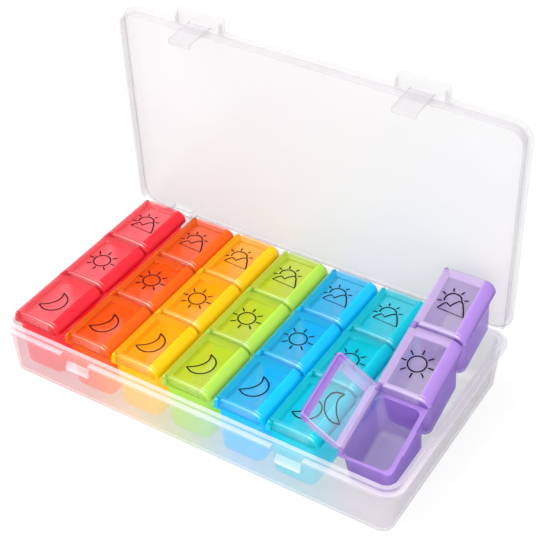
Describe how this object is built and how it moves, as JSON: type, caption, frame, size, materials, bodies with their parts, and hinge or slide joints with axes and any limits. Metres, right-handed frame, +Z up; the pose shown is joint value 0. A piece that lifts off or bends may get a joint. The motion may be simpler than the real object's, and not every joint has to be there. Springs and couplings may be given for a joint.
{
  "type": "weekly pill drawer organizer",
  "caption": "Shallow hinged translucent case holding a row of lift-out pill containers, one for each day of the week, divided into compartments under flip lids.",
  "frame": {"origin": "centre of the flat underside of the case tray, on the table", "axes": "+X along the length of the case, from the red container to the violet one; +Y from the latch side to the case hinge side; +Z up"},
  "size_m": [0.222, 0.1263, 0.1602],
  "materials": {
    "case_clear": "frosted translucent moulded polypropylene, softly glossy",
    "red_plastic": "glossy translucent red polypropylene",
    "orange_plastic": "glossy translucent orange polypropylene",
    "yellow_plastic": "glossy translucent amber yellow polypropylene",
    "green_plastic": "glossy translucent light green polypropylene",
    "blue_plastic": "glossy translucent blue polypropylene",
    "teal_plastic": "glossy translucent teal polypropylene",
    "purple_plastic": "glossy translucent violet polypropylene"
  },
  "bodies": {
    "case_tray": {"case_tray": "case_clear"},
    "case_lid": {"case_lid": "case_clear"},
    "container_red": {"container_red": "red_plastic"},
    "container_orange": {"container_orange": "orange_plastic"},
    "container_yellow": {"container_yellow": "yellow_plastic"},
    "container_green": {"container_green": "green_plastic"},
    "container_blue": {"container_blue": "blue_plastic"},
    "container_teal": {"container_teal": "teal_plastic"},
    "container_purple": {"container_purple": "purple_plastic"},
    "lid_red_front": {"lid_red_front": "red_plastic"},
    "lid_red_middle": {"lid_red_middle": "red_plastic"},
    "lid_red_back": {"lid_red_back": "red_plastic"},
    "lid_orange_front": {"lid_orange_front": "orange_plastic"},
    "lid_orange_middle": {"lid_orange_middle": "orange_plastic"},
    "lid_orange_back": {"lid_orange_back": "orange_plastic"},
    "lid_yellow_front": {"lid_yellow_front": "yellow_plastic"},
    "lid_yellow_middle": {"lid_yellow_middle": "yellow_plastic"},
    "lid_yellow_back": {"lid_yellow_back": "yellow_plastic"},
    "lid_green_front": {"lid_green_front": "green_plastic"},
    "lid_green_middle": {"lid_green_middle": "green_plastic"},
    "lid_green_back": {"lid_green_back": "green_plastic"},
    "lid_blue_front": {"lid_blue_front": "blue_plastic"},
    "lid_blue_middle": {"lid_blue_middle": "blue_plastic"},
    "lid_blue_back": {"lid_blue_back": "blue_plastic"},
    "lid_teal_front": {"lid_teal_front": "teal_plastic"},
    "lid_teal_middle": {"lid_teal_middle": "teal_plastic"},
    "lid_teal_back": {"lid_teal_back": "teal_plastic"},
    "lid_purple_front": {"lid_purple_front": "purple_plastic"},
    "lid_purple_middle": {"lid_purple_middle": "purple_plastic"},
    "lid_purple_back": {"lid_purple_back": "purple_plastic"}
  },
  "joints": [
    {"name": "case_lid_hinge", "type": "hinge", "parent": "case_tray", "child": "case_lid", "pos_m": [0, 0.0589, 0.03225], "axis": [-1, 0, 0], "range_deg": [-10, 14]},
    {"name": "container_red_lift", "type": "slide", "parent": "case_tray", "child": "container_red", "axis": [0, 0, 1], "range_m": [0, 0.038]},
    {"name": "lid_red_front_hinge", "type": "hinge", "parent": "container_red", "child": "lid_red_front", "pos_m": [-0.10275, -0.0366, 0.034], "axis": [0, 1, 0], "range_deg": [-115, 0]},
    {"name": "lid_red_middle_hinge", "type": "hinge", "parent": "container_red", "child": "lid_red_middle", "pos_m": [-0.10275, 0.0008, 0.034], "axis": [0, 1, 0], "range_deg": [-115, 0]},
    {"name": "lid_red_back_hinge", "type": "hinge", "parent": "container_red", "child": "lid_red_back", "pos_m": [-0.10275, 0.0382, 0.034], "axis": [0, 1, 0], "range_deg": [-95, 0]},
    {"name": "container_orange_lift", "type": "slide", "parent": "case_tray", "child": "container_orange", "axis": [0, 0, 1], "range_m": [0, 0.038]},
    {"name": "lid_orange_front_hinge", "type": "hinge", "parent": "container_orange", "child": "lid_orange_front", "pos_m": [-0.0715, -0.0366, 0.034], "axis": [0, 1, 0], "range_deg": [-115, 0]},
    {"name": "lid_orange_middle_hinge", "type": "hinge", "parent": "container_orange", "child": "lid_orange_middle", "pos_m": [-0.0715, 0.0008, 0.034], "axis": [0, 1, 0], "range_deg": [-115, 0]},
    {"name": "lid_orange_back_hinge", "type": "hinge", "parent": "container_orange", "child": "lid_orange_back", "pos_m": [-0.0715, 0.0382, 0.034], "axis": [0, 1, 0], "range_deg": [-115, 0]},
    {"name": "container_yellow_lift", "type": "slide", "parent": "case_tray", "child": "container_yellow", "axis": [0, 0, 1], "range_m": [0, 0.038]},
    {"name": "lid_yellow_front_hinge", "type": "hinge", "parent": "container_yellow", "child": "lid_yellow_front", "pos_m": [-0.0437, -0.0366, 0.034], "axis": [0, 1, 0], "range_deg": [-115, 0]},
    {"name": "lid_yellow_middle_hinge", "type": "hinge", "parent": "container_yellow", "child": "lid_yellow_middle", "pos_m": [-0.0437, 0.0008, 0.034], "axis": [0, 1, 0], "range_deg": [-115, 0]},
    {"name": "lid_yellow_back_hinge", "type": "hinge", "parent": "container_yellow", "child": "lid_yellow_back", "pos_m": [-0.0437, 0.0382, 0.034], "axis": [0, 1, 0], "range_deg": [-115, 0]},
    {"name": "container_green_lift", "type": "slide", "parent": "case_tray", "child": "container_green", "axis": [0, 0, 1], "range_m": [0, 0.038]},
    {"name": "lid_green_front_hinge", "type": "hinge", "parent": "container_green", "child": "lid_green_front", "pos_m": [-0.0145, -0.0366, 0.034], "axis": [0, 1, 0], "range_deg": [-115, 0]},
    {"name": "lid_green_middle_hinge", "type": "hinge", "parent": "container_green", "child": "lid_green_middle", "pos_m": [-0.0145, 0.0008, 0.034], "axis": [0, 1, 0], "range_deg": [-115, 0]},
    {"name": "lid_green_back_hinge", "type": "hinge", "parent": "container_green", "child": "lid_green_back", "pos_m": [-0.0145, 0.0382, 0.034], "axis": [0, 1, 0], "range_deg": [-115, 0]},
    {"name": "container_blue_lift", "type": "slide", "parent": "case_tray", "child": "container_blue", "axis": [0, 0, 1], "range_m": [0, 0.038]},
    {"name": "lid_blue_front_hinge", "type": "hinge", "parent": "container_blue", "child": "lid_blue_front", "pos_m": [0.0146, -0.0366, 0.034], "axis": [0, 1, 0], "range_deg": [-115, 0]},
    {"name": "lid_blue_middle_hinge", "type": "hinge", "parent": "container_blue", "child": "lid_blue_middle", "pos_m": [0.0146, 0.0008, 0.034], "axis": [0, 1, 0], "range_deg": [-115, 0]},
    {"name": "lid_blue_back_hinge", "type": "hinge", "parent": "container_blue", "child": "lid_blue_back", "pos_m": [0.0146, 0.0382, 0.034], "axis": [0, 1, 0], "range_deg": [-115, 0]},
    {"name": "container_teal_lift", "type": "slide", "parent": "case_tray", "child": "container_teal", "axis": [0, 0, 1], "range_m": [0, 0.01]},
    {"name": "lid_teal_front_hinge", "type": "hinge", "parent": "container_teal", "child": "lid_teal_front", "pos_m": [0.0428, -0.0366, 0.034], "axis": [0, 1, 0], "range_deg": [-115, 0]},
    {"name": "lid_teal_middle_hinge", "type": "hinge", "parent": "container_teal", "child": "lid_teal_middle", "pos_m": [0.0428, 0.0008, 0.034], "axis": [0, 1, 0], "range_deg": [-115, 0]},
    {"name": "lid_teal_back_hinge", "type": "hinge", "parent": "container_teal", "child": "lid_teal_back", "pos_m": [0.0428, 0.0382, 0.034], "axis": [0, 1, 0], "range_deg": [-115, 0]},
    {"name": "container_purple_tilt", "type": "hinge", "parent": "case_tray", "child": "container_purple", "pos_m": [0.09211, -0.06995, 0.03089], "axis": [0.9956, 0, 0.0938], "range_deg": [-13.96, 0]},
    {"name": "lid_purple_front_hinge", "type": "hinge", "parent": "container_purple", "child": "lid_purple_front", "pos_m": [0.07937, -0.0386, 0.04189], "axis": [0.0226, -0.9705, -0.2402], "range_deg": [-138, 0]},
    {"name": "lid_purple_middle_hinge", "type": "hinge", "parent": "container_purple", "child": "lid_purple_middle", "pos_m": [0.07852, -0.00231, 0.05087], "axis": [-0.0226, 0.9705, 0.2402], "range_deg": [-115, 0]},
    {"name": "lid_purple_back_hinge", "type": "hinge", "parent": "container_purple", "child": "lid_purple_back", "pos_m": [0.07767, 0.03399, 0.05985], "axis": [-0.0226, 0.9705, 0.2402], "range_deg": [-115, 0]}
  ],
  "couplings": [
    {"joint": "lid_purple_front_hinge", "follows": "container_purple_tilt", "ratio": 9.8854}
  ]
}
